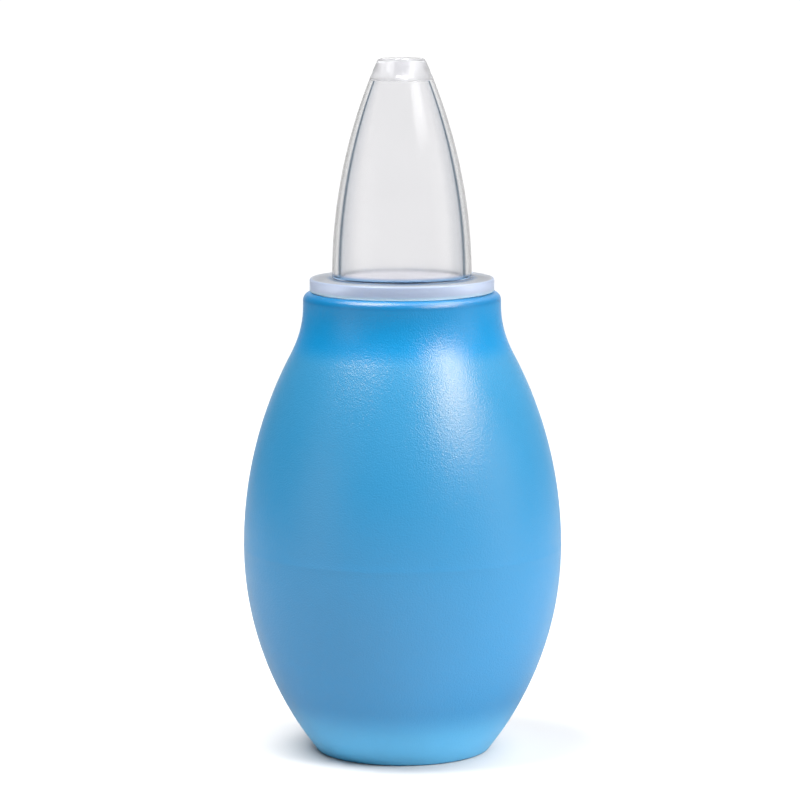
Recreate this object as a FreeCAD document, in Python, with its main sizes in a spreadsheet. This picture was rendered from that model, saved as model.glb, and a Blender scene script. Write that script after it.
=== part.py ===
"""Nasal aspirator: a soft squeeze bulb with a clear nozzle pushed into its neck, in millimetres.

The origin is at the middle of the foot that the bulb stands on, and +Z runs up the axis to the tip.
The bulb is one soft moulding. The walls that a thumb and fingers press in are cut out of it as two
rigid discs, front and back, so that each of them can travel.
"""

import FreeCAD, Part

import math
import os
from types import SimpleNamespace

import Sketcher
from FreeCAD import Rotation, Vector

SIZES = {
    # the bulb's outline
    "belly_radius": 25.0,
    "belly_height": 32.5,
    "upper_belly_arc": 64.3,
    "lower_belly_arc": 51.9,
    "shoulder_arc": 15.7,
    "neck_radius": 15.45,
    "neck_top": 72.5,
    "lip_rounding": 1.3,
    "foot_rounding": 0.8,
    "dish_radius": 10.5,
    "dish_depth": 0.8,
    # the bulb's hollow
    "bulb_wall": 2.2,
    "foot_wall": 3.0,
    "foot_corner": 2.0,
    "socket_radius": 11.45,
    "socket_depth": 11.0,
    "collar_depth": 15.0,
    # the walls that are pressed in
    "press_radius": 14.0,
    "press_gap": 0.15,
    # the nozzle's outside
    "flange_radius": 14.4,
    "flange_thickness": 2.15,
    "flange_rounding": 0.35,
    "nozzle_radius": 10.9,
    "nozzle_arc": 83.2,
    "nozzle_length": 34.1,
    "root_rounding": 0.4,
    "tip_rounding": 0.8,
    # the nozzle's hollow
    "tip_bore_radius": 1.3,
    "tip_bore_length": 3.2,
    "chamber_radius": 9.75,
    "chamber_arc": 88.0,
    "chamber_rounding": 0.7,
    # the nozzle's plug, which sits in the bulb's neck
    "plug_length": 10.0,
    "plug_radius": 11.0,
    "plug_rounding": 0.5,
    "rib_radius": 11.4,
    "rib_bead": 0.6,
    "rib_drop": 3.0,
    "rib_pitch": 3.8,
}
RIB_COUNT = 2


def make_sizes(doc):
    """The spreadsheet of driving dimensions, one alias to a row."""
    sheet = doc.addObject("Spreadsheet::Sheet", "sizes")
    for row, (alias, value) in enumerate(SIZES.items(), start=1):
        sheet.set(f"A{row}", alias.replace("_", " "))
        sheet.set(f"B{row}", str(value))
        sheet.setAlias(f"B{row}", alias)
    doc.recompute()
    return sheet


class Outline:
    """A closed sketch in a body's XZ plane, drawn in order round one side of the axis.

    In the sketch X is the radius and Y the height. The places given only have to be near: the
    constraints settle them, and each one with a size reads the spreadsheet.
    """

    def __init__(self, body, name, start, **sizes):
        self.sketch = body.newObject("Sketcher::SketchObject", name)
        plane = next(f for f in body.Origin.OriginFeatures if f.Role == "XZ_Plane")
        self.sketch.AttachmentSupport = (plane, [""])
        self.sketch.MapMode = "FlatFace"
        self.start = start
        self.start_sizes = sizes
        self.here = start
        self.last = None

    def line(self, end, direction=None, smooth=False, **sizes):
        curve = Part.LineSegment(Vector(*self.here, 0), Vector(*end, 0))
        index = self._join(curve, end, smooth)
        if direction:
            self._constrain(direction, index)
        self._size_point(index, self._end_of(index, end), **sizes)

    def arc(self, radius, centre, end, smooth=False, centre_out=None, centre_up=None, **sizes):
        """An arc the short way round, with its radius given as a formula of the sheet's cells."""
        begin = Vector(*self.here, 0)
        finish = Vector(*end, 0)
        middle = Vector(*centre, 0)
        chord = (begin + finish) / 2
        reach = ((begin - middle).Length + (finish - middle).Length) / 2
        via = middle + (chord - middle).normalize() * reach
        curve = Part.Arc(begin, via, finish)
        index = self._join(curve, end, smooth)
        self._size("Radius", (index,), reach, radius)
        self._size_point(index, 3, out=centre_out, up=centre_up)
        self._size_point(index, self._end_of(index, end), **sizes)

    def close(self):
        """The last line, back to where the outline began."""
        self.line(self.start)
        self._constrain("Coincident", *self.last, 0, self._end_of(0, self.start))
        self._size_point(0, self._end_of(0, self.start), **self.start_sizes)
        return self.sketch

    def _join(self, curve, end, smooth):
        index = self.sketch.addGeometry(curve, False)
        if self.last:
            kind = "Tangent" if smooth else "Coincident"
            self._constrain(kind, *self.last, index, self._end_of(index, self.here))
        self.last = (index, self._end_of(index, end))
        self.here = end
        return index

    def _end_of(self, index, place):
        return min((1, 2), key=lambda end: (self.sketch.getPoint(index, end) - Vector(*place, 0)).Length)

    def _constrain(self, kind, *places):
        self.sketch.addConstraint(Sketcher.Constraint(kind, *places))

    def _size(self, kind, places, value, formula):
        number = self.sketch.addConstraint(Sketcher.Constraint(kind, *places, value))
        self.sketch.setExpression(f"Constraints[{number}]", formula)

    def _size_point(self, index, end, out=None, up=None):
        """A point's distance out from the axis and up from the foot. Zero puts it on the axis or foot."""
        point = self.sketch.getPoint(index, end)
        if out == "0":
            self._constrain("PointOnObject", index, end, -2)
        elif out:
            self._size("DistanceX", (-1, 1, index, end), point.x, out)
        if up == "0":
            self._constrain("PointOnObject", index, end, -1)
        elif up:
            self._size("DistanceY", (-1, 1, index, end), point.y, up)


def revolve(body, sketch, name):
    """A full turn of a sketch round the axis."""
    turned = body.newObject("PartDesign::Revolution", name)
    turned.Profile = sketch
    turned.ReferenceAxis = (sketch, ["V_Axis"])
    turned.Angle = 360
    return turned


def on_arc(top, arc, rise):
    """The radius of an upright arc, which is widest at radius top, at a height above its widest."""
    return top - arc + math.sqrt(arc ** 2 - rise ** 2)


def make_bulb(doc, s):
    """The whole squeeze bulb: a dished foot, an egg-shaped belly, a shoulder, and a collar with a lip."""
    body = doc.addObject("PartDesign::Body", "bulb_moulding")
    upper_centre = s.belly_radius - s.upper_belly_arc
    lower_centre = s.belly_radius - s.lower_belly_arc

    # the shoulder's arc touches the belly's upper arc from outside, and the neck
    shoulder_out = s.neck_radius + s.shoulder_arc
    reach = s.upper_belly_arc + s.shoulder_arc
    shoulder_up = s.belly_height + math.sqrt(reach ** 2 - (shoulder_out - upper_centre) ** 2)
    share = s.upper_belly_arc / reach
    shoulder_foot = (upper_centre + share * (shoulder_out - upper_centre),
                     s.belly_height + share * (shoulder_up - s.belly_height))

    foot_radius = on_arc(s.belly_radius, s.lower_belly_arc, s.belly_height)
    dish_arc = (s.dish_radius ** 2 + s.dish_depth ** 2) / (2 * s.dish_depth)

    outline = Outline(body, "bulb_section", (0, s.dish_depth), out="0", up="sizes.dish_depth")
    outline.arc("(sizes.dish_radius ^ 2 + sizes.dish_depth ^ 2) / (2 * sizes.dish_depth)",
                (0, s.dish_depth - dish_arc), (s.dish_radius, 0), centre_out="0", up="0")
    outline.line((foot_radius - s.foot_rounding, 0), "Horizontal")
    outline.arc("sizes.foot_rounding", (foot_radius - s.foot_rounding, s.foot_rounding),
                (foot_radius, s.foot_rounding), smooth=True)
    outline.arc("sizes.lower_belly_arc", (lower_centre, s.belly_height), (s.belly_radius, s.belly_height),
                smooth=True, centre_up="sizes.belly_height", out="sizes.belly_radius",
                up="sizes.belly_height")
    outline.arc("sizes.upper_belly_arc", (upper_centre, s.belly_height), shoulder_foot,
                centre_up="sizes.belly_height")
    outline.arc("sizes.shoulder_arc", (shoulder_out, shoulder_up), (s.neck_radius, shoulder_up),
                smooth=True, out="sizes.neck_radius")
    outline.line((s.neck_radius, s.neck_top - s.lip_rounding), "Vertical", smooth=True)
    outline.arc("sizes.lip_rounding", (s.neck_radius - s.lip_rounding, s.neck_top - s.lip_rounding),
                (s.neck_radius - s.lip_rounding, s.neck_top), smooth=True)
    outline.line((s.socket_radius, s.neck_top), "Horizontal", smooth=True, up="sizes.neck_top")
    outline.line((s.socket_radius, s.neck_top - s.socket_depth), "Vertical",
                 out="sizes.socket_radius", up="sizes.neck_top - sizes.socket_depth")

    # the hollow keeps the belly's centres, one wall's thickness in
    inner_top = s.belly_radius - s.bulb_wall
    upper_arc = s.upper_belly_arc - s.bulb_wall
    lower_arc = s.lower_belly_arc - s.bulb_wall
    collar_rise = s.neck_top - s.collar_depth - s.belly_height
    outline.line((on_arc(inner_top, upper_arc, collar_rise), s.neck_top - s.collar_depth),
                 up="sizes.neck_top - sizes.collar_depth")
    outline.arc("sizes.upper_belly_arc - sizes.bulb_wall", (upper_centre, s.belly_height),
                (inner_top, s.belly_height), centre_up="sizes.belly_height",
                out="sizes.belly_radius - sizes.bulb_wall", up="sizes.belly_height")
    floor_edge = on_arc(inner_top, lower_arc, s.belly_height - s.foot_wall)
    outline.arc("sizes.lower_belly_arc - sizes.bulb_wall", (lower_centre, s.belly_height),
                (floor_edge, s.foot_wall + s.foot_corner), centre_up="sizes.belly_height")
    outline.arc("sizes.foot_corner", (floor_edge - s.foot_corner, s.foot_wall + s.foot_corner),
                (floor_edge - s.foot_corner, s.foot_wall), smooth=True)
    outline.line((0, s.foot_wall), "Horizontal", smooth=True, out="0", up="sizes.foot_wall")
    revolve(body, outline.close(), "bulb_turn")
    return body


def make_press_tool(doc, name, formula):
    """A bar along Y, level with the belly's widest, that runs from the axis out through the wall."""
    bar = doc.addObject("Part::Cylinder", name)
    bar.setExpression("Radius", formula)
    bar.setExpression("Height", "sizes.belly_radius + 5")
    bar.setExpression(".Placement.Base.z", "sizes.belly_height")
    return bar


def split_bulb(doc, bulb):
    """The shell with a round hole in its front and back walls, and the two discs that fill them."""
    front = Rotation(Vector(1, 0, 0), 90)
    back = Rotation(Vector(1, 0, 0), -90)
    pieces = []
    shell = bulb
    for side, turn in (("front", front), ("back", back)):
        hole = make_press_tool(doc, f"{side}_hole", "sizes.press_radius")
        hole.Placement.Rotation = turn
        cut = doc.addObject("Part::Cut", f"{side}_cut")
        cut.Base = shell
        cut.Tool = hole
        shell = cut

        disc = make_press_tool(doc, f"{side}_disc", "sizes.press_radius - sizes.press_gap")
        disc.Placement.Rotation = turn
        wall = doc.addObject("Part::Common", f"{side}_press_wall")
        wall.Base = bulb
        wall.Tool = disc
        pieces.append(wall)
    shell.Label = "bulb_shell"
    return [shell] + pieces


def make_nozzle(doc, s):
    """The clear nozzle: a pointed chamber, a flange that rests on the lip, and a ribbed open plug."""
    body = doc.addObject("PartDesign::Body", "nozzle")
    flange_top = s.neck_top + s.flange_thickness
    tip = flange_top + s.nozzle_length
    ceiling = tip - s.tip_bore_length
    outer_centre = s.nozzle_radius - s.nozzle_arc
    inner_centre = s.chamber_radius - s.chamber_arc
    plug_end = s.neck_top - s.plug_length
    edge = s.flange_radius - s.flange_rounding

    outline = Outline(body, "nozzle_section", (s.chamber_radius, plug_end),
                      out="sizes.chamber_radius", up="sizes.neck_top - sizes.plug_length")
    outline.line((s.plug_radius - s.plug_rounding, plug_end), "Horizontal")
    outline.arc("sizes.plug_rounding", (s.plug_radius - s.plug_rounding, plug_end + s.plug_rounding),
                (s.plug_radius, plug_end + s.plug_rounding), smooth=True)
    outline.line((s.plug_radius, s.neck_top), "Vertical", smooth=True, out="sizes.plug_radius",
                 up="sizes.neck_top")
    outline.line((edge, s.neck_top), "Horizontal")
    outline.arc("sizes.flange_rounding", (edge, s.neck_top + s.flange_rounding),
                (s.flange_radius, s.neck_top + s.flange_rounding), smooth=True)
    outline.line((s.flange_radius, flange_top - s.flange_rounding), "Vertical", smooth=True,
                 out="sizes.flange_radius")
    outline.arc("sizes.flange_rounding", (edge, flange_top - s.flange_rounding),
                (edge, flange_top), smooth=True)
    root = (s.nozzle_radius + s.root_rounding, flange_top + s.root_rounding)
    outline.line((root[0], flange_top), "Horizontal", smooth=True,
                 up="sizes.neck_top + sizes.flange_thickness")
    outline.arc("sizes.root_rounding", root, (s.nozzle_radius, root[1]), smooth=True)
    tip_edge = on_arc(s.nozzle_radius, s.nozzle_arc, s.nozzle_length)
    outline.arc("sizes.nozzle_arc", (outer_centre, flange_top), (tip_edge, tip - s.tip_rounding),
                smooth=True, centre_out="sizes.nozzle_radius - sizes.nozzle_arc",
                centre_up="sizes.neck_top + sizes.flange_thickness")
    outline.arc("sizes.tip_rounding", (tip_edge - s.tip_rounding, tip - s.tip_rounding),
                (tip_edge - s.tip_rounding, tip), smooth=True)
    outline.line((s.tip_bore_radius, tip), "Horizontal", smooth=True,
                 up="sizes.neck_top + sizes.flange_thickness + sizes.nozzle_length")
    outline.line((s.tip_bore_radius, ceiling), "Vertical", out="sizes.tip_bore_radius",
                 up="sizes.neck_top + sizes.flange_thickness + sizes.nozzle_length - sizes.tip_bore_length")

    ceiling_edge = on_arc(s.chamber_radius, s.chamber_arc, ceiling - flange_top)
    outline.line((ceiling_edge - s.chamber_rounding, ceiling), "Horizontal")
    outline.arc("sizes.chamber_rounding", (ceiling_edge - s.chamber_rounding, ceiling - s.chamber_rounding),
                (ceiling_edge, ceiling - s.chamber_rounding), smooth=True)
    outline.arc("sizes.chamber_arc", (inner_centre, flange_top), (s.chamber_radius, flange_top),
                smooth=True, centre_up="sizes.neck_top + sizes.flange_thickness",
                out="sizes.chamber_radius", up="sizes.neck_top + sizes.flange_thickness")
    revolve(body, outline.close(), "nozzle_turn")

    for number in range(RIB_COUNT):
        rib = body.newObject("PartDesign::AdditiveTorus", f"sealing_rib_{number + 1}")
        rib.setExpression("Radius1", "sizes.rib_radius - sizes.rib_bead")
        rib.setExpression("Radius2", "sizes.rib_bead")
        rib.setExpression(".Placement.Base.z",
                          f"sizes.neck_top - sizes.rib_drop - {number} * sizes.rib_pitch")
    return body


def check(doc, nodes):
    """Stop unless every feature was built and every node holds one sound solid."""
    for item in doc.Objects:
        if {"Invalid", "Error"} & set(item.State):
            raise RuntimeError(f"{item.Name} was not built: {item.State}")
    for node in nodes:
        shape = node.Shape
        if shape.isNull() or not shape.isValid() or len(shape.Solids) != 1:
            raise RuntimeError(f"{node.Label} is not one sound solid")
        box = shape.optimalBoundingBox(False)
        print(f"{node.Label:18s} {shape.Volume:9.1f} mm3  "
              f"x {box.XMin:.2f} {box.XMax:.2f}  y {box.YMin:.2f} {box.YMax:.2f}  "
              f"z {box.ZMin:.2f} {box.ZMax:.2f}")


def main():
    doc = FreeCAD.newDocument("nasal_aspirator")
    make_sizes(doc)
    sizes = SimpleNamespace(**SIZES)
    bulb = make_bulb(doc, sizes)
    doc.recompute()
    nodes = split_bulb(doc, bulb) + [make_nozzle(doc, sizes)]
    doc.recompute()
    check(doc, nodes)
    os.makedirs("parts", exist_ok=True)
    for node in nodes:
        node.Shape.exportStep(f"parts/{node.Label}.step")


main()
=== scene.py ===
"""Looks of the nasal aspirator: a soft, grained squeeze bulb and a clear nozzle, in metres.

Both are turned outlines. The bulb's skin is in two halves, front and back, that meet on a vertical
plane.
"""

import math
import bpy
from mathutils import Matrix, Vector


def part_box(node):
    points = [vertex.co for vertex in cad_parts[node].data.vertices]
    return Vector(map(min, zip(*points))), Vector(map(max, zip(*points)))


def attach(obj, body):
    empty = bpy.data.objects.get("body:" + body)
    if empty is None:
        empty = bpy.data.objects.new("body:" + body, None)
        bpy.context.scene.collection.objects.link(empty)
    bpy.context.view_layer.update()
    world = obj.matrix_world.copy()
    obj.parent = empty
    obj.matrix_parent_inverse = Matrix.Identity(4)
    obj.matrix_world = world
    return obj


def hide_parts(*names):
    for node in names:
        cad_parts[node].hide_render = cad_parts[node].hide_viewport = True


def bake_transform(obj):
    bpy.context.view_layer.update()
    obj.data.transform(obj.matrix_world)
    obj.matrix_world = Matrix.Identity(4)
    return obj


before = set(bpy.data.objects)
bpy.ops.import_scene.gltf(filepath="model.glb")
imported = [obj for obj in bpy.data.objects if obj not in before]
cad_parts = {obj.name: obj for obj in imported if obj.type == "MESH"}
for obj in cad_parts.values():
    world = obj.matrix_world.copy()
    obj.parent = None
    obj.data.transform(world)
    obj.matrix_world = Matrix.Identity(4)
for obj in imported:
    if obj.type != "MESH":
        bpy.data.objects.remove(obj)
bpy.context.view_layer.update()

from types import SimpleNamespace

import bpy
import numpy as np
from mathutils import Vector

MM = 0.001

# places and sizes that the frame gives
_, BULB_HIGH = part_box("bulb_shell")
PRESS_LOW, PRESS_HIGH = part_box("front_press_wall")
NOZZLE_LOW, NOZZLE_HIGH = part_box("nozzle")
BELLY_RADIUS = -PRESS_LOW.y
BELLY_HEIGHT = (PRESS_LOW.z + PRESS_HIGH.z) / 2
NECK_TOP = BULB_HIGH.z
FLANGE_RADIUS = NOZZLE_HIGH.x
PLUG_END = NOZZLE_LOW.z
TIP = NOZZLE_HIGH.z

# the bulb's section
UPPER_BELLY_ARC = 64.3 * MM
LOWER_BELLY_ARC = 51.9 * MM
SHOULDER_ARC = 15.7 * MM
NECK_RADIUS = 15.45 * MM
LIP_ROUNDING = 1.3 * MM
FOOT_ROUNDING = 0.8 * MM
DISH_RADIUS = 10.5 * MM
DISH_DEPTH = 0.8 * MM
BULB_WALL = 2.2 * MM
FOOT_WALL = 3.0 * MM
FOOT_CORNER = 2.0 * MM
SOCKET_RADIUS = 11.45 * MM
SOCKET_DEPTH = 11.0 * MM
SOCKET_ROUNDING = 0.25 * MM
COLLAR_DEPTH = 15.0 * MM
PARTING_PROUD = 0.03 * MM
PARTING_HALF_WIDTH = 0.45 * MM
PARTING_TOP_HALF_WIDTH = PARTING_HALF_WIDTH / 4
UPPER_CENTRE = (BELLY_RADIUS - UPPER_BELLY_ARC, BELLY_HEIGHT)
LOWER_CENTRE = (BELLY_RADIUS - LOWER_BELLY_ARC, BELLY_HEIGHT)

# the nozzle's section
FLANGE_THICKNESS = 2.15 * MM
FLANGE_TOP = NECK_TOP + FLANGE_THICKNESS
FLANGE_ROUNDING = 0.35 * MM
NOZZLE_RADIUS = 10.9 * MM
NOZZLE_ARC = 83.2 * MM
ROOT_ROUNDING = 0.4 * MM
TIP_ROUNDING = 0.8 * MM
TIP_BORE_RADIUS = 1.3 * MM
TIP_BORE_LENGTH = 3.2 * MM
BORE_ROUNDING = 0.2 * MM
CEILING = TIP - TIP_BORE_LENGTH
CHAMBER_RADIUS = 9.75 * MM
CHAMBER_ARC = 88.0 * MM
CHAMBER_ROUNDING = 0.7 * MM
PLUG_RADIUS = 11.0 * MM
PLUG_ROUNDING = 0.5 * MM
RIB_RADIUS = 11.4 * MM
RIB_BEAD = 0.6 * MM
RIB_DROPS = (6.8 * MM, 3.0 * MM)

# how finely the outlines and turns are divided
STEP = 0.9 * MM
STEP_DEGREES = 9.0
AROUND = 192
WHOLE_TURN = 2 * math.pi
TINY = 1e-9

# Colours are linear RGB. A pair of heights or distances says where something starts to show and
# where it is full.

# the range that Blender's noise mostly fills
NOISE_RANGE = (0.3, 0.7)

# the bulb's material
BELLY_BLUES = ((0.015, 0.141, 0.270), (0.019, 0.151, 0.288))
BELLY_CLOUD = 30 * MM
# painted light and shade by height: painted bounce light from the floor, lighter on the lower belly and
# lighter still at the foot, and painted shade that darkens the neck and more the lip's rounding
BULB_PAINTED_LIGHT_BANDS = {
    "lower belly": ((NECK_TOP - 12.5 * MM, 10 * MM), (0.027, 0.205, 0.420)),
    "foot": ((10 * MM, 0.5 * MM), (0.120, 0.485, 0.800)),
    "neck": ((NECK_TOP - 10.5 * MM, NECK_TOP - 7 * MM), (0.000, 0.147, 0.326)),
    "lip": ((NECK_TOP - 1.7 * MM, NECK_TOP - 0.9 * MM), (0.000, 0.110, 0.255)),
}
COARSE_GRAIN = 0.25 * MM
FINE_GRAIN = 0.14 * MM
FINE_GRAIN_SHARE = 0.6
GRAIN_DEPTH = 0.042 * MM
BULB_ROUGHNESS = (0.285, 0.33)
BULB_ROUGHNESS_CLOUD = 6 * MM
BULB_IOR = 1.5
BULB_SPECULAR = (1.0, 0.72, 0.42)

# where the parts of the nozzle's material are: heights, distances from the axis, and for the outer
# skin the distance out from it
SKIN_NEAR = (-0.4 * MM, -0.2 * MM)
FLANGE_OUT = (NOZZLE_RADIUS - 0.5 * MM, NOZZLE_RADIUS - 0.1 * MM)
FLANGE_HEIGHTS = (FLANGE_TOP + 0.3 * MM, FLANGE_TOP)
RIM_OUT = (FLANGE_RADIUS - 0.45 * MM, FLANGE_RADIUS - 0.15 * MM)
# painted contact shade on the flange's top, round the cone's root
SEAT_PAINTED_SHADE_OUT = (NOZZLE_RADIUS + 1.2 * MM, NOZZLE_RADIUS + 0.1 * MM)
# painted blue of the bulb's lip showing through the flange's lower edge
HEM_PAINTED_BLUE_HEIGHTS = (NECK_TOP + 0.75 * MM, NECK_TOP + 0.1 * MM)
# where the cone's root gets the painted blue of the bulb seen through the plug
ROOT_PAINTED_BLUE_HEIGHTS = (FLANGE_TOP + 1.15 * MM, FLANGE_TOP + 0.5 * MM)
TIP_HEIGHTS = (CEILING - 0.15 * MM, CEILING - 0.05 * MM)

# how far out the eye's line passes the cone's middle, where 1 is the edge of the chamber. These place a
# painted shade, a painted dark line where the chamber's wall is seen edge-on, and the wall beyond it
# painted lighter than the clear.
SHADE_REACH = (0.69, 1.0)
DEEP_SHADE_REACH = (0.90, 0.985)
PAINTED_LINE_REACH = (0.955, 0.99)
PAINTED_LINE_END_REACH = (1.035, 1.0)
WALL_PAINTED_LIGHT_REACH = (1.01, 1.05)

# the painted dark line's strength at the cone's root, over its strength at the tip
PAINTED_LINE_AT_ROOT = 0.92

# the nozzle's tints, each over the ones before. The shade, deep shade, wall, line and root tints, and the
# flange's front tints round the cone's root and at its lower edge, are painted light and shade.
CLEAR = ((0.893, 0.891, 0.901), (0.908, 0.906, 0.916))
CLEAR_CLOUD = 12 * MM
SHADE_TINT = (0.57, 0.60, 0.65)
DEEP_SHADE_TINT = (0.45, 0.49, 0.55)
WALL_PAINTED_LIGHT_TINT = (1.0, 1.0, 1.0)
PAINTED_LINE_TINT = (0.018, 0.043, 0.072)
# painted blue of the bulb's socket as seen through the plug, at the cone's root
ROOT_PAINTED_BLUE_TINT = (0.10, 0.28, 0.60)
TIP_TINT = (0.71, 0.71, 0.73)
FLANGE_TINT = (0.74, 0.74, 0.82)
FLANGE_FRONT_TINT = (0.77, 0.82, 0.90)
# painted contact shade round the cone's root
SEAT_PAINTED_SHADE_TINT = (0.25, 0.42, 0.68)
RIM_TINT = (0.56, 0.66, 0.86)
# painted blue of the bulb's lip showing through the flange's lower edge
HEM_PAINTED_BLUE_TINT = (0.56, 0.82, 0.97)

# the nozzle's polish, its milky parts and the faint waves in its surface
POLISH = (0.14, 0.17)
POLISH_CLOUD = 3 * MM
INNER_POLISH = 0.2
FLANGE_ROUGHER = 0.2
TIP_ROUGHER = 0.2
FLANGE_MILK = 0.16
TIP_MILK = 0.05
RIM_MILK = 0.14
WAVE_SIZE = 4 * MM
WAVE_DEPTH = 0.01 * MM
WAVE_STRENGTH = 0.3
NOZZLE_IOR = 1.49
NOZZLE_SPECULAR = (0.13, 0.13, 0.13)

# the floor
FLOOR_RADIUS = 420 * MM
FLOOR_SIDES = 96
FLOOR_GREYS = ((0.48, 0.48, 0.482), (0.50, 0.50, 0.502))
FLOOR_CLOUD = 60 * MM
FLOOR_REFLECTED = (0.26, 0.26, 0.261)
FLOOR_ROUGHNESS = 0.8
FLOOR_SPECULAR = 0.2

# the studio's brightness. Directions go from -1 to 1, along X to the right and along Y to the back.
WHITE = (1.0, 1.0, 1.0)
ROOM_DIM = 0.15
ROOM_BRIGHT = 0.35
ROOM_FADE = (-0.1, 0.8)
BACK_FADE = (0.78, 1.0)
LEFT_DIM = 0.35
LEFT_FADE = (-0.8, 0.0)
BACKDROP = 1.06

# the softboxes: azimuth and elevation in degrees, width and height in metres, and power in watts.
# Azimuth 0 is on the camera's side and 90 on its right.
SOFTBOX_DISTANCE = 0.9
SOFTBOX_AIM = BELLY_HEIGHT + 20 * MM
SOFTBOXES = {
    "key_softbox": (53, 38, 0.44, 0.36, 11.2),
    "left_softbox": (-72, 68, 0.5, 0.5, 19.5),
    "right_softbox": (90, 60, 0.5, 0.5, 8.5),
    "back_softbox": (140, 40, 0.6, 0.6, 1),
    "side_softbox": (77, 8, 0.5, 0.4, 1.1),
    "fill_softbox": (-62, 8, 0.5, 0.4, 0.9),
}

# the camera, with its lens and sensor in millimetres and its roll in degrees
LENS = 163.95
SENSOR_WIDTH = 36
CLIP_START = 10 * MM
CAMERA_PLACE = (-0.35 * MM, -565.2 * MM, 132.6 * MM)
CAMERA_TARGET = (-0.35 * MM, 0, 55.4 * MM)
CAMERA_ROLL = -0.136


class Section:
    """The outline of a turned shape, walked with the solid on the left, with its outward normals."""

    def __init__(self, radius, height):
        self.places = [Vector((radius, height))]
        self.normals = [None]

    def line(self, radius, height):
        """Straight to a place, in short steps."""
        start = self.places[-1]
        end = Vector((radius, height))
        along = end - start
        parts = max(1, math.ceil(along.length / STEP))
        normal = Vector((along.y, -along.x)).normalized()
        self._leave(normal)
        for part in range(1, parts + 1):
            self.places.append(start + along * part / parts)
            self.normals.append(normal)

    def arc(self, centre, radius, start, end):
        """From one angle to another, in degrees from outward. An arc whose angle falls is hollow."""
        parts = max(abs(math.radians(end - start)) * radius / STEP, abs(end - start) / STEP_DEGREES)
        angles = np.radians(np.linspace(start, end, max(1, math.ceil(parts)) + 1))
        rays = [Vector((math.cos(a), math.sin(a))) for a in angles]
        side = 1 if end > start else -1
        self._leave(side * rays[0])
        for ray in rays[1:]:
            self.places.append(Vector(centre) + ray * radius)
            self.normals.append(side * ray)

    def _leave(self, normal):
        """At a corner, the normal is shared between what comes in and what goes out."""
        last = self.normals[-1]
        self.normals[-1] = normal if last is None else (last + normal).normalized()


def on_arc(top, arc, rise):
    """The radius of an upright arc, which is widest at radius top, at a height above its widest."""
    return top - arc + math.sqrt(arc ** 2 - rise ** 2)


def draw_foot(section):
    """A shallow dish, a flat ring and a small rounding, up to the angle where the belly starts."""
    dish_arc = (DISH_RADIUS ** 2 + DISH_DEPTH ** 2) / (2 * DISH_DEPTH)
    dish_edge = math.degrees(math.acos(DISH_RADIUS / dish_arc))
    foot_reach = LOWER_BELLY_ARC - FOOT_ROUNDING
    foot_fall = BELLY_HEIGHT - FOOT_ROUNDING
    foot_out = LOWER_CENTRE[0] + math.sqrt(foot_reach ** 2 - foot_fall ** 2)
    foot_angle = -math.degrees(math.asin(foot_fall / foot_reach))
    section.arc((0, DISH_DEPTH - dish_arc), dish_arc, 90, dish_edge)
    section.line(foot_out, 0)
    section.arc((foot_out, FOOT_ROUNDING), FOOT_ROUNDING, -90, foot_angle)
    return foot_angle


def draw_belly(section, foot_angle):
    """The belly, with a low mould parting ridge round its widest, then the shoulder, neck and lip."""
    ridge_below = -math.degrees(PARTING_HALF_WIDTH / LOWER_BELLY_ARC)
    ridge_above = math.degrees(PARTING_HALF_WIDTH / UPPER_BELLY_ARC)
    section.arc(LOWER_CENTRE, LOWER_BELLY_ARC - PARTING_PROUD, foot_angle, ridge_below)
    section.line(BELLY_RADIUS, BELLY_HEIGHT - PARTING_TOP_HALF_WIDTH)
    section.line(BELLY_RADIUS, BELLY_HEIGHT + PARTING_TOP_HALF_WIDTH)
    section.line(on_arc(BELLY_RADIUS, UPPER_BELLY_ARC, PARTING_HALF_WIDTH) - PARTING_PROUD,
                 BELLY_HEIGHT + PARTING_HALF_WIDTH)
    shoulder_out = NECK_RADIUS + SHOULDER_ARC
    reach = UPPER_BELLY_ARC + SHOULDER_ARC
    shoulder_angle = math.degrees(math.acos((shoulder_out - UPPER_CENTRE[0]) / reach))
    shoulder_up = BELLY_HEIGHT + reach * math.sin(math.radians(shoulder_angle))
    section.arc(UPPER_CENTRE, UPPER_BELLY_ARC - PARTING_PROUD, ridge_above, shoulder_angle)
    section.arc((shoulder_out, shoulder_up), SHOULDER_ARC, 180 + shoulder_angle, 180)
    section.line(NECK_RADIUS, NECK_TOP - LIP_ROUNDING)
    section.arc((NECK_RADIUS - LIP_ROUNDING, NECK_TOP - LIP_ROUNDING), LIP_ROUNDING, 0, 90)


def draw_hollow(section):
    """The socket for the plug, the collar's sloped underside, the hollow and its floor."""
    socket_edge = SOCKET_RADIUS + SOCKET_ROUNDING
    section.line(socket_edge, NECK_TOP)
    section.arc((socket_edge, NECK_TOP - SOCKET_ROUNDING), SOCKET_ROUNDING, 90, 180)
    section.line(SOCKET_RADIUS, NECK_TOP - SOCKET_DEPTH)
    inner_top = BELLY_RADIUS - BULB_WALL
    upper_arc = UPPER_BELLY_ARC - BULB_WALL
    lower_arc = LOWER_BELLY_ARC - BULB_WALL
    collar_rise = NECK_TOP - COLLAR_DEPTH - BELLY_HEIGHT
    section.line(on_arc(inner_top, upper_arc, collar_rise), NECK_TOP - COLLAR_DEPTH)
    corner_reach = lower_arc - FOOT_CORNER
    corner_fall = BELLY_HEIGHT - FOOT_WALL - FOOT_CORNER
    corner_out = LOWER_CENTRE[0] + math.sqrt(corner_reach ** 2 - corner_fall ** 2)
    corner_angle = -math.degrees(math.asin(corner_fall / corner_reach))
    section.arc(UPPER_CENTRE, upper_arc, math.degrees(math.asin(collar_rise / upper_arc)), 0)
    section.arc(LOWER_CENTRE, lower_arc, 0, corner_angle)
    section.arc((corner_out, FOOT_WALL + FOOT_CORNER), FOOT_CORNER, corner_angle, -90)
    section.line(0, FOOT_WALL)


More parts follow.
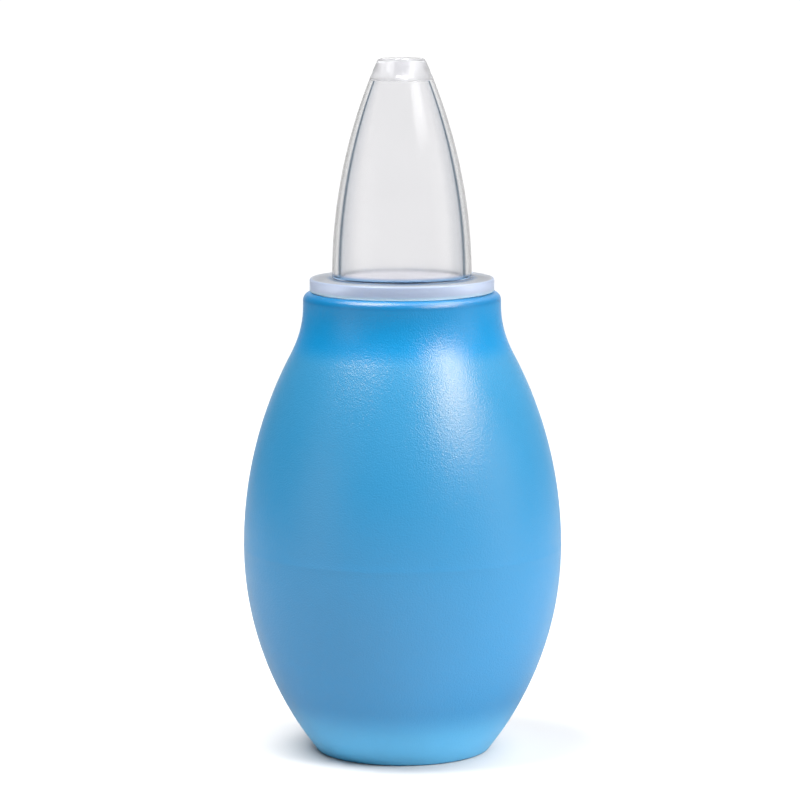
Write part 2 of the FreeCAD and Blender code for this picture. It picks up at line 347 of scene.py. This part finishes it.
def bulb_section():
    """From the middle of the foot, out over the belly to the lip, and back down the inside."""
    section = Section(0, DISH_DEPTH)
    foot_angle = draw_foot(section)
    draw_belly(section, foot_angle)
    draw_hollow(section)
    return section


def draw_plug(section):
    """The plug with its sealing ribs."""
    section.line(PLUG_RADIUS - PLUG_ROUNDING, PLUG_END)
    section.arc((PLUG_RADIUS - PLUG_ROUNDING, PLUG_END + PLUG_ROUNDING), PLUG_ROUNDING, -90, 0)
    rib_middle = RIB_RADIUS - RIB_BEAD
    rib_angle = math.degrees(math.acos((PLUG_RADIUS - rib_middle) / RIB_BEAD))
    for drop in RIB_DROPS:
        rib_up = NECK_TOP - drop
        section.line(PLUG_RADIUS, rib_up - RIB_BEAD * math.sin(math.radians(rib_angle)))
        section.arc((rib_middle, rib_up), RIB_BEAD, -rib_angle, rib_angle)
    section.line(PLUG_RADIUS, NECK_TOP)


def draw_flange(section):
    """The flange that rests on the bulb's lip, with its edge rounded above and below."""
    edge = FLANGE_RADIUS - FLANGE_ROUNDING
    section.line(edge, NECK_TOP)
    section.arc((edge, NECK_TOP + FLANGE_ROUNDING), FLANGE_ROUNDING, -90, 0)
    section.line(FLANGE_RADIUS, FLANGE_TOP - FLANGE_ROUNDING)
    section.arc((edge, FLANGE_TOP - FLANGE_ROUNDING), FLANGE_ROUNDING, 0, 90)


def draw_cone(section):
    """The outside, from a small root rounding to the tip's rounding."""
    outer_centre = (NOZZLE_RADIUS - NOZZLE_ARC, FLANGE_TOP)
    root_angle = math.degrees(math.asin(ROOT_ROUNDING / (NOZZLE_ARC + ROOT_ROUNDING)))
    root_out = outer_centre[0] + (NOZZLE_ARC + ROOT_ROUNDING) * math.cos(math.radians(root_angle))
    section.line(root_out, FLANGE_TOP)
    section.arc((root_out, FLANGE_TOP + ROOT_ROUNDING), ROOT_ROUNDING, 270, 180 + root_angle)
    tip_reach = NOZZLE_ARC - TIP_ROUNDING
    tip_angle = math.degrees(math.asin((TIP - TIP_ROUNDING - FLANGE_TOP) / tip_reach))
    tip_out = outer_centre[0] + tip_reach * math.cos(math.radians(tip_angle))
    section.arc(outer_centre, NOZZLE_ARC, root_angle, tip_angle)
    section.arc((tip_out, TIP - TIP_ROUNDING), TIP_ROUNDING, tip_angle, 90)


def draw_bore(section):
    """The suction hole in the tip, rounded at both ends."""
    mouth = TIP_BORE_RADIUS + BORE_ROUNDING
    section.line(mouth, TIP)
    section.arc((mouth, TIP - BORE_ROUNDING), BORE_ROUNDING, 90, 180)
    section.line(TIP_BORE_RADIUS, CEILING + BORE_ROUNDING)
    section.arc((mouth, CEILING + BORE_ROUNDING), BORE_ROUNDING, 180, 270)


def draw_chamber(section):
    """From the ceiling under the solid tip down to the plug's open end."""
    inner_centre = (CHAMBER_RADIUS - CHAMBER_ARC, FLANGE_TOP)
    corner_reach = CHAMBER_ARC - CHAMBER_ROUNDING
    corner_angle = math.degrees(math.asin((CEILING - CHAMBER_ROUNDING - FLANGE_TOP) / corner_reach))
    corner_out = inner_centre[0] + corner_reach * math.cos(math.radians(corner_angle))
    section.line(corner_out, CEILING)
    section.arc((corner_out, CEILING - CHAMBER_ROUNDING), CHAMBER_ROUNDING, 90, corner_angle)
    section.arc(inner_centre, CHAMBER_ARC, corner_angle, 0)
    section.line(CHAMBER_RADIUS, PLUG_END)


def nozzle_section():
    """From the open end of the plug, up the outside to the tip, down the bore and the chamber."""
    section = Section(CHAMBER_RADIUS, PLUG_END)
    for draw in (draw_plug, draw_flange, draw_cone, draw_bore, draw_chamber):
        draw(section)
    return section


def put(name, data):
    """A new object in the scene."""
    thing = bpy.data.objects.new(name, data)
    bpy.context.scene.collection.objects.link(thing)
    return thing


def turned_points(places, normals, angles):
    """The points of a turned outline, their normals, and each ring of points by number."""
    points = []
    point_normals = []
    rings = []
    for place, normal in zip(places, normals):
        on_axis = place.x < TINY
        across = 0 if on_axis else normal.x
        up = math.copysign(1, normal.y) if on_axis else normal.y
        ring = []
        for angle in angles[:1] if on_axis else angles:
            ring.append(len(points))
            points.append((place.x * math.cos(angle), place.x * math.sin(angle), place.y))
            point_normals.append((across * math.cos(angle), across * math.sin(angle), up))
        rings.append(ring * len(angles) if on_axis else ring)
    return points, point_normals, rings


def turned_faces(rings, columns, whole):
    """Faces with four corners between each ring and the next, or with three beside the axis."""
    pairs = list(zip(rings, rings[1:]))
    if whole:
        pairs.append((rings[-1], rings[0]))
    faces = []
    for low, high in pairs:
        for column in range(columns):
            after = (column + 1) % len(low)
            corners = (low[column], low[after], high[after], high[column])
            faces.append(tuple(dict.fromkeys(corners)))
    return faces


def turned(name, section, start, sweep):
    """A piece made by turning a section round the axis. A part turn gets a flat cap at each end."""
    whole = sweep > WHOLE_TURN - TINY
    columns = round(AROUND * sweep / WHOLE_TURN)
    angles = start + np.arange(columns if whole else columns + 1) * sweep / columns
    places = section.places[:-1] if whole else section.places
    normals = section.normals[:-1] if whole else section.normals
    if whole:
        normals[0] = (normals[0] + section.normals[-1]).normalized()
    points, point_normals, rings = turned_points(places, normals, angles)
    faces = turned_faces(rings, columns, whole)
    caps = [] if whole else [[ring[0] for ring in rings], [ring[-1] for ring in reversed(rings)]]

    mesh = bpy.data.meshes.new(name)
    mesh.from_pydata(points, [], faces + caps)
    mesh.shade_smooth()
    mesh.update()
    corner_normals = []
    for face in mesh.polygons:
        if face.index < len(faces):
            corner_normals += [point_normals[point] for point in face.vertices]
        else:
            corner_normals += [face.normal[:]] * len(face.vertices)
    mesh.normals_split_custom_set(corner_normals)
    return put(name, mesh)


def make_bulb(material):
    """The two halves of the bulb's skin, shown in place of the bulb's shell and its pressed walls, which
    are hidden.
    """
    section = bulb_section()
    for side, start in (("front", math.pi), ("back", 0.0)):
        half = turned(f"bulb_skin_{side}", section, start, math.pi)
        half.data.materials.append(material)
        wall = f"{side}_press_wall"
        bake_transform(half)
        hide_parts("bulb_shell", wall)


def make_nozzle(material):
    """The nozzle, one moulding that slides out of the neck."""
    nozzle = turned("nozzle_clear", nozzle_section(), 0.0, WHOLE_TURN)
    nozzle.data.materials.append(material)
    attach(nozzle, "nozzle")
    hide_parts("nozzle")


class Nodes:
    """A short way to build the nodes of a material or of the world."""

    def __init__(self, owner, shader, coordinates):
        owner.use_nodes = True
        self.tree = owner.node_tree
        self.shader = self.tree.nodes[shader]
        self.place = self.add("ShaderNodeTexCoord").outputs[coordinates]

    def add(self, kind, **settings):
        """A new node, with its properties set by name."""
        node = self.tree.nodes.new(kind)
        for name, value in settings.items():
            setattr(node, name, value)
        return node

    def give(self, socket, value):
        """Another node's output, a colour or a number goes into a socket."""
        if isinstance(value, bpy.types.NodeSocket):
            self.tree.links.new(value, socket)
        elif isinstance(value, tuple):
            socket.default_value = (*value, 1)
        else:
            socket.default_value = value

    def set(self, **values):
        """Values for the shader's own sockets, with _ for a space."""
        for name, value in values.items():
            self.give(self.shader.inputs[name.replace("_", " ")], value)

    def math(self, operation, *values):
        """One sum, worked out from numbers and other nodes' outputs."""
        node = self.add("ShaderNodeMath", operation=operation)
        for socket, value in zip(node.inputs, values):
            self.give(socket, value)
        return node.outputs["Value"]

    def product(self, first, *others):
        """Numbers and other nodes' outputs, multiplied one after another."""
        for other in others:
            first = self.math("MULTIPLY", first, other)
        return first

    def leg(self, long_squared, short_squared):
        """The third side of a right-angled triangle, from two sides squared."""
        return self.math("SQRT", self.math("SUBTRACT", long_squared, short_squared))

    def axis(self, name):
        """The place along X, Y or Z."""
        node = self.add("ShaderNodeSeparateXYZ")
        self.give(node.inputs["Vector"], self.place)
        return node.outputs[name]

    def away(self):
        """The distance from the axis."""
        across = self.axis("X")
        along = self.axis("Y")
        return self.math("SQRT", self.math("ADD", self.product(across, across), self.product(along, along)))

    def noise(self, size, detail=2.0):
        """Cloudy noise, with features of a size in metres."""
        node = self.add("ShaderNodeTexNoise")
        self.give(node.inputs["Scale"], 1 / size)
        self.give(node.inputs["Detail"], detail)
        self.give(node.inputs["Vector"], self.place)
        return node.outputs["Fac"]

    def ramp(self, source, start, end, low=0.0, high=1.0, kind="SMOOTHSTEP"):
        """From low to high as the source goes from start to end, and level beyond."""
        node = self.add("ShaderNodeMapRange", interpolation_type=kind)
        for name, value in (("From Min", start), ("From Max", end), ("To Min", low), ("To Max", high),
                            ("Value", source)):
            self.give(node.inputs[name], value)
        return node.outputs["Result"]

    def cloud(self, size, low=0.0, high=1.0):
        """Noise that fills the range from low to high."""
        return self.ramp(self.noise(size), *NOISE_RANGE, low, high, kind="LINEAR")

    def mix(self, share, under, over):
        """A colour over another, by a share."""
        node = self.add("ShaderNodeMix", data_type="RGBA")
        for name, value in (("Factor", share), ("A", under), ("B", over)):
            self.give(node.inputs[name], value)
        return node.outputs["Result"]

    def bump(self, source, depth, strength=1.0):
        """A bump as deep as the given metres where the source goes from 0 to 1."""
        node = self.add("ShaderNodeBump")
        self.give(node.inputs["Strength"], strength)
        self.give(node.inputs["Distance"], depth)
        self.give(node.inputs["Height"], source)
        self.set(Normal=node.outputs["Normal"])


def bulb_material():
    """Soft blue plastic with the fine leathery grain of its mould, and bands of painted light and shade
    down its height.
    """
    material = bpy.data.materials.new("bulb_soft_plastic")
    nodes = Nodes(material, "Principled BSDF", "Object")
    height = nodes.axis("Z")
    colour = nodes.mix(nodes.cloud(BELLY_CLOUD), *BELLY_BLUES)
    # the bands paint bounce light low down and shade on the neck and lip
    for heights, blue in BULB_PAINTED_LIGHT_BANDS.values():
        colour = nodes.mix(nodes.ramp(height, *heights), colour, blue)
    coarse = nodes.noise(COARSE_GRAIN, detail=1.0)
    fine = nodes.noise(FINE_GRAIN, detail=1.0)
    nodes.bump(nodes.math("MULTIPLY_ADD", fine, FINE_GRAIN_SHARE, coarse), GRAIN_DEPTH)
    nodes.set(Base_Color=colour, Roughness=nodes.cloud(BULB_ROUGHNESS_CLOUD, *BULB_ROUGHNESS))
    nodes.set(IOR=BULB_IOR, Specular_Tint=BULB_SPECULAR)
    return material


def nozzle_spot(nodes):
    """What the nozzle's material goes by, at the spot that is shaded.

    Its height and the eye's reach are numbers. Each other value is 1 where it is true of the spot, or
    where the spot is on that part of the nozzle, and 0 elsewhere.
    """
    height = nodes.axis("Z")
    out = nodes.away()
    rise = nodes.math("MAXIMUM", nodes.math("SUBTRACT", height, FLANGE_TOP), 0.0)
    rise_squared = nodes.product(rise, rise)
    skin = nodes.math("ADD", nodes.leg(NOZZLE_ARC ** 2, rise_squared), NOZZLE_RADIUS - NOZZLE_ARC)
    chamber = nodes.math("ADD", nodes.leg(CHAMBER_ARC ** 2, rise_squared), CHAMBER_RADIUS - CHAMBER_ARC)
    outside = nodes.ramp(nodes.math("SUBTRACT", out, skin), *SKIN_NEAR)
    front = nodes.math("SUBTRACT", 1.0, nodes.add("ShaderNodeNewGeometry").outputs["Backfacing"])
    flange = nodes.product(nodes.ramp(out, *FLANGE_OUT), nodes.ramp(height, *FLANGE_HEIGHTS))
    return SimpleNamespace(
        height=height,
        outside=outside,
        front=front,
        entering=nodes.product(front, outside),
        flange=flange,
        rim=nodes.product(flange, nodes.ramp(out, *RIM_OUT)),
        # painted contact shade round the cone's root
        painted_seat_shade=nodes.ramp(out, *SEAT_PAINTED_SHADE_OUT),
        # the flange's lower edge, where the lip's blue showing through is painted
        painted_hem_blue=nodes.ramp(height, *HEM_PAINTED_BLUE_HEIGHTS),
        # the cone's root, where the bulb's blue seen through the plug is painted
        root=nodes.ramp(height, *ROOT_PAINTED_BLUE_HEIGHTS),
        tip=nodes.ramp(height, *TIP_HEIGHTS),
        reach=eye_reach(nodes, out, chamber, rise_squared),
    )


def eye_reach(nodes, out, chamber, rise_squared):
    """How far out the eye's line passes the cone's middle, over the chamber's radius there.

    It follows from how edge-on the wall is seen and how much the wall leans. It places the painted shade
    and the painted dark line.
    """
    edge_on = nodes.add("ShaderNodeLayerWeight").outputs["Facing"]
    lean = nodes.leg(1.0, nodes.math("DIVIDE", rise_squared, NOZZLE_ARC ** 2))
    facing = nodes.math("DIVIDE", nodes.math("SUBTRACT", 1.0, edge_on), lean)
    aside = nodes.leg(1.0, nodes.product(facing, facing))
    return nodes.math("DIVIDE", nodes.product(aside, out), chamber)


def nozzle_colour(nodes, spot):
    """Clear, with painted shade that deepens to a painted dark line where the cone is seen along the
    chamber's edge, as refraction would show it; painted blue at the cone's root and at the flange's lower
    edge, and painted contact shade on the flange's top round the cone.
    """
    # the painted dark line, where refraction would show the chamber's wall edge-on
    line = nodes.product(nodes.ramp(spot.reach, *PAINTED_LINE_REACH), nodes.ramp(spot.reach, *PAINTED_LINE_END_REACH),
                         nodes.ramp(spot.height, FLANGE_TOP, TIP, PAINTED_LINE_AT_ROOT, 1.0))
    flange_front = nodes.product(spot.flange, spot.front)
    colour = nodes.mix(nodes.cloud(CLEAR_CLOUD), *CLEAR)
    # the shade, deep shade, wall, line and root tints are painted on the outside; the flange's front gets
    # painted contact shade round the cone and painted blue at its lower edge
    for share, tint in (
            (nodes.product(spot.entering, nodes.ramp(spot.reach, *SHADE_REACH)), SHADE_TINT),
            (nodes.product(spot.entering, nodes.ramp(spot.reach, *DEEP_SHADE_REACH)), DEEP_SHADE_TINT),
            (nodes.product(spot.entering, nodes.ramp(spot.reach, *WALL_PAINTED_LIGHT_REACH)), WALL_PAINTED_LIGHT_TINT),
            (nodes.product(spot.entering, line), PAINTED_LINE_TINT),
            # painted blue of the bulb seen through the plug
            (nodes.product(spot.entering, spot.root), ROOT_PAINTED_BLUE_TINT),
            (spot.tip, TIP_TINT),
            (spot.flange, FLANGE_TINT),
            (flange_front, FLANGE_FRONT_TINT),
            # painted contact shade on the flange's top
            (nodes.product(flange_front, spot.painted_seat_shade), SEAT_PAINTED_SHADE_TINT),
            (nodes.product(flange_front, spot.rim), RIM_TINT),
            # painted blue of the lip showing through the flange's lower edge
            (nodes.product(flange_front, spot.rim, spot.painted_hem_blue), HEM_PAINTED_BLUE_TINT)):
        colour = nodes.mix(share, colour, tint)
    return colour


def nozzle_roughness(nodes, spot):
    """Polished outside, more so inside, and rougher in the flange and the solid tip."""
    rough = nodes.cloud(POLISH_CLOUD, *POLISH)
    rough = nodes.product(rough, nodes.math("ADD", spot.outside, INNER_POLISH))
    rough = nodes.math("MULTIPLY_ADD", spot.flange, FLANGE_ROUGHER, rough)
    return nodes.math("MULTIPLY_ADD", spot.tip, TIP_ROUGHER, rough)


def nozzle_clearness(nodes, spot):
    """How clear it is: a little milky in the flange and the solid tip."""
    milk = nodes.math("ADD", nodes.product(spot.flange, FLANGE_MILK), nodes.product(spot.tip, TIP_MILK))
    milk = nodes.math("MULTIPLY_ADD", spot.rim, RIM_MILK, milk)
    return nodes.math("SUBTRACT", 1.0, nodes.product(milk, spot.front))


def nozzle_material():
    """Clear moulded plastic."""
    material = bpy.data.materials.new("nozzle_clear_plastic")
    nodes = Nodes(material, "Principled BSDF", "Object")
    spot = nozzle_spot(nodes)
    nodes.bump(nodes.noise(WAVE_SIZE, detail=1.0), WAVE_DEPTH, strength=WAVE_STRENGTH)
    nodes.set(Base_Color=nozzle_colour(nodes, spot), Roughness=nozzle_roughness(nodes, spot))
    nodes.set(Transmission_Weight=nozzle_clearness(nodes, spot))
    nodes.set(IOR=NOZZLE_IOR, Specular_Tint=NOZZLE_SPECULAR)
    return material


def floor_material():
    """Matt white studio board. Reflections see it darker, so that the bulb's sides keep their blue."""
    material = bpy.data.materials.new("floor_white_board")
    nodes = Nodes(material, "Principled BSDF", "Object")
    rays = nodes.add("ShaderNodeLightPath")
    reflected = nodes.product(rays.outputs["Is Glossy Ray"],
                              nodes.math("SUBTRACT", 1.0, rays.outputs["Is Transmission Ray"]))
    colour = nodes.mix(nodes.cloud(FLOOR_CLOUD), *FLOOR_GREYS)
    nodes.set(Base_Color=nodes.mix(reflected, colour, FLOOR_REFLECTED))
    nodes.set(Roughness=FLOOR_ROUGHNESS, Specular_IOR_Level=FLOOR_SPECULAR)
    return material


def make_floor(material):
    """A round white table top."""
    mesh = bpy.data.meshes.new("floor")
    turns = np.arange(FLOOR_SIDES) * WHOLE_TURN / FLOOR_SIDES
    rim = [(FLOOR_RADIUS * math.cos(turn), FLOOR_RADIUS * math.sin(turn), 0) for turn in turns]
    mesh.from_pydata(rim, [], [range(FLOOR_SIDES)])
    mesh.materials.append(material)
    put("floor", mesh)


def aim(thing, target):
    """Turn a light or a camera toward a place."""
    thing.rotation_euler = (Vector(target) - thing.location).to_track_quat("-Z", "Y").to_euler()


def make_softbox(name, azimuth, elevation, width, height, watts):
    """A rectangular light that faces the bulb."""
    turn = math.radians(azimuth)
    lift = math.radians(elevation)
    toward = Vector((math.sin(turn) * math.cos(lift), -math.cos(turn) * math.cos(lift), math.sin(lift)))
    target = Vector((0, 0, SOFTBOX_AIM))
    data = bpy.data.lights.new(name, "AREA")
    data.shape = "RECTANGLE"
    data.size = width
    data.size_y = height
    data.energy = watts
    light = put(name, data)
    light.location = target + SOFTBOX_DISTANCE * toward
    aim(light, target)


def make_room():
    """A white studio that is dimmer on the camera's side and on the left.

    The eye sees a plain backdrop instead, also through clear plastic. It is a little over white, so
    that the floor's far edge doesn't show against it.
    """
    world = bpy.data.worlds.new("studio")
    nodes = Nodes(world, "Background", "Generated")
    room = nodes.math("MAXIMUM", nodes.ramp(nodes.axis("Y"), *ROOM_FADE, ROOM_DIM, ROOM_BRIGHT),
                      nodes.ramp(nodes.axis("Y"), *BACK_FADE))
    room = nodes.product(room, nodes.ramp(nodes.axis("X"), *LEFT_FADE, LEFT_DIM, 1.0))
    rays = nodes.add("ShaderNodeLightPath")
    seen = nodes.math("MAXIMUM", nodes.product(rays.outputs["Is Camera Ray"], BACKDROP),
                      rays.outputs["Is Transmission Ray"])
    unseen = nodes.product(room, nodes.math("SUBTRACT", 1.0, seen))
    nodes.set(Color=WHITE, Strength=nodes.math("MAXIMUM", seen, unseen))
    bpy.context.scene.world = world
    bpy.context.scene.view_settings.view_transform = "Standard"


def make_camera():
    """A long lens a little above the nozzle's tip, looking along +Y and down at the belly."""
    data = bpy.data.cameras.new("camera")
    data.lens = LENS
    data.sensor_width = SENSOR_WIDTH
    data.clip_start = CLIP_START
    camera = put("camera", data)
    camera.location = CAMERA_PLACE
    aim(camera, CAMERA_TARGET)
    camera.rotation_euler.rotate_axis("Z", math.radians(CAMERA_ROLL))
    bpy.context.scene.camera = camera


make_camera()
make_room()
for softbox, settings in SOFTBOXES.items():
    make_softbox(softbox, *settings)
make_floor(floor_material())
make_bulb(bulb_material())
make_nozzle(nozzle_material())
